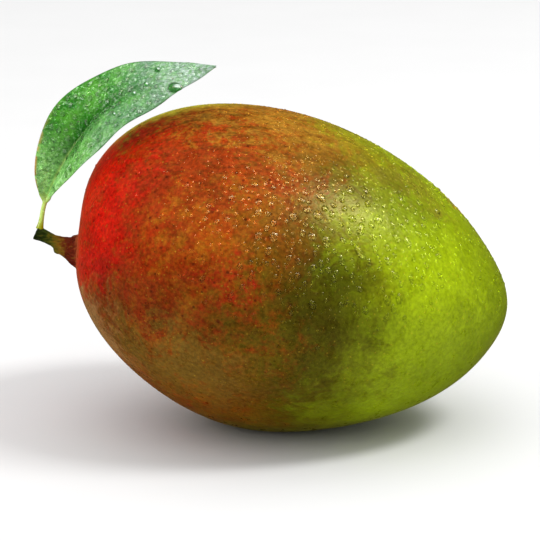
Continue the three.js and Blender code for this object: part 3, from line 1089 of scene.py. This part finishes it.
def paper_finish(name, greys):
    """Pale matt paper, between two greys from 0 to 255."""
    nodes = new_finish(name)
    place = nodes.place_in()
    nodes.surface(
        Base_Color=nodes.mix(nodes.noise(place, 60), *(srgb(grey, grey, grey) for grey in greys)),
        Roughness=nodes.step(nodes.noise(place, 2), 0.3, 0.7, 0.85, 0.95),
        Specular_IOR_Level=0.2,
    )
    return nodes.owner


# ---- stage ----
STAGE_RADIUS = 3000
STAGE_SIDES = 96
FLOOR_GREYS = (220, 224)
BACKDROP_GREYS = (250, 254)


def make_floor():
    """The floor, and far behind it a round backdrop that only the camera sees."""
    rim = circle(STAGE_SIDES) * STAGE_RADIUS
    floor = new_piece("floor", rim, [list(range(STAGE_SIDES))], paper_finish("floor", FLOOR_GREYS))
    floor.visible_glossy = False
    foot = np.arange(STAGE_SIDES)
    ahead = np.roll(foot, -1)
    walls = np.column_stack((foot, ahead, ahead + STAGE_SIDES, foot + STAGE_SIDES)).tolist()
    points = np.vstack((rim, rim + (0, 0, STAGE_RADIUS)))
    backdrop = new_piece("backdrop", points, walls, paper_finish("backdrop", BACKDROP_GREYS))
    for rays in ("diffuse", "glossy", "transmission", "shadow"):
        setattr(backdrop, "visible_" + rays, False)
    return floor


def add_softbox(name, direction, along, distance, size, power, lit_pieces, shading_pieces):
    """A lamp that faces the fruit's middle. It lights all pieces or some, and some shade its light."""
    lamp = bpy.data.lights.new(name, "AREA")
    lamp.shape = "RECTANGLE"
    lamp.size, lamp.size_y = size[0] * MM, size[1] * MM
    lamp.energy = power
    holder = new_object(name, lamp)
    away = Vector(direction).normalized()
    across = away.cross(Vector(along)).normalized()
    turn = Matrix((across.cross(away), across, away)).transposed()
    holder.matrix_world = Matrix.Translation(Vector(FRUIT_CENTRE) * MM + away * distance * MM) @ turn.to_4x4()
    holder.visible_camera = False
    holder.light_linking.blocker_collection = linked_set(name + "_shades", shading_pieces)
    if lit_pieces:
        holder.light_linking.receiver_collection = linked_set(name + "_lights", lit_pieces)


def linked_set(name, pieces):
    collection = bpy.data.collections.new(name)
    for piece in pieces:
        collection.objects.link(piece)
    return collection


def light_studio(lit_by_name, shading_pieces):
    """A pale room, brighter overhead, with soft lamps. Gloss mirrors the lamps and not the room."""
    world = bpy.data.worlds.new("studio")
    room = Nodes(world, "Background")
    direction = room.add("TexCoord", {})["Generated"]
    towards_light = room.vector("DOT_PRODUCT", direction, Vector(ROOM_BRIGHT_SIDE).normalized())
    room.surface(Color=(1, 1, 1, 1), Strength=room.step(towards_light, *ROOM_BLEND, *ROOM_BRIGHTNESS))
    world.cycles_visibility.glossy = False
    bpy.context.scene.world = world
    for name, direction, along, distance, size, power, lit in SOFTBOXES:
        add_softbox(name, direction, along, distance, size, power, lit_by_name.get(lit), shading_pieces)
    bpy.context.scene.view_settings.view_transform = "Standard"


def add_camera():
    camera = bpy.data.cameras.new("camera")
    camera.sensor_width = SENSOR_WIDTH
    camera.lens = SENSOR_WIDTH * CAMERA_DISTANCE / VIEW_WIDTH
    holder = new_object("camera", camera)
    away = Vector((0, -math.cos(CAMERA_ELEVATION), math.sin(CAMERA_ELEVATION)))
    holder.location = CAMERA_TARGET + away * CAMERA_DISTANCE
    holder.rotation_euler = away.to_track_quat("Z", "Y").to_euler()
    bpy.context.scene.camera = holder


# ---- assembly ----
random = np.random.default_rng(SEED)
fruit = make_fruit(skin_finish())
stem = make_stem(bark_finish())
leaf, leaf_margins = make_leaf(blade_finish())
water = water_finish()

on_fruit = spray(fruit, LARGE_DROPS, FRUIT_DROPS, random, fruit_wetness, fruit_drop_radii)
fruit_beads = make_drops("beads_on_fruit", beads(on_fruit), FRUIT_CONTACTS, random, water)
fruit_dew = make_drops("dew_on_fruit", dew(on_fruit), FRUIT_CONTACTS, random, water)
on_leaf = spray(leaf, LEAF_DROPS, LEAF_FINE_DROPS, random, leaf_wetness(leaf_margins), leaf_drop_radii)
leaf_beads = make_drops("beads_on_leaf", beads(on_leaf), LEAF_CONTACTS, random, water)
leaf_dew = make_drops("dew_on_leaf", dew(on_leaf), LEAF_CONTACTS, random, water)

wet = (fruit_beads, fruit_dew, leaf_beads, leaf_dew)
for piece, node, slot in (
    (fruit, "mango_fruit", "skin"),
    (stem, "stem", "stem_bark"),
    (leaf, "leaf", "leaf_blade"),
    *((drops, None, "water") for drops in wet),
):
    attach(piece, "root")
    if node:
        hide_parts(node)
for piece in (leaf, fruit_dew, leaf_dew):
    piece.visible_shadow = False

floor = make_floor()
light_studio({"leaf": [leaf], "dew": wet}, (fruit, stem, floor, fruit_beads, leaf_beads))
add_camera()
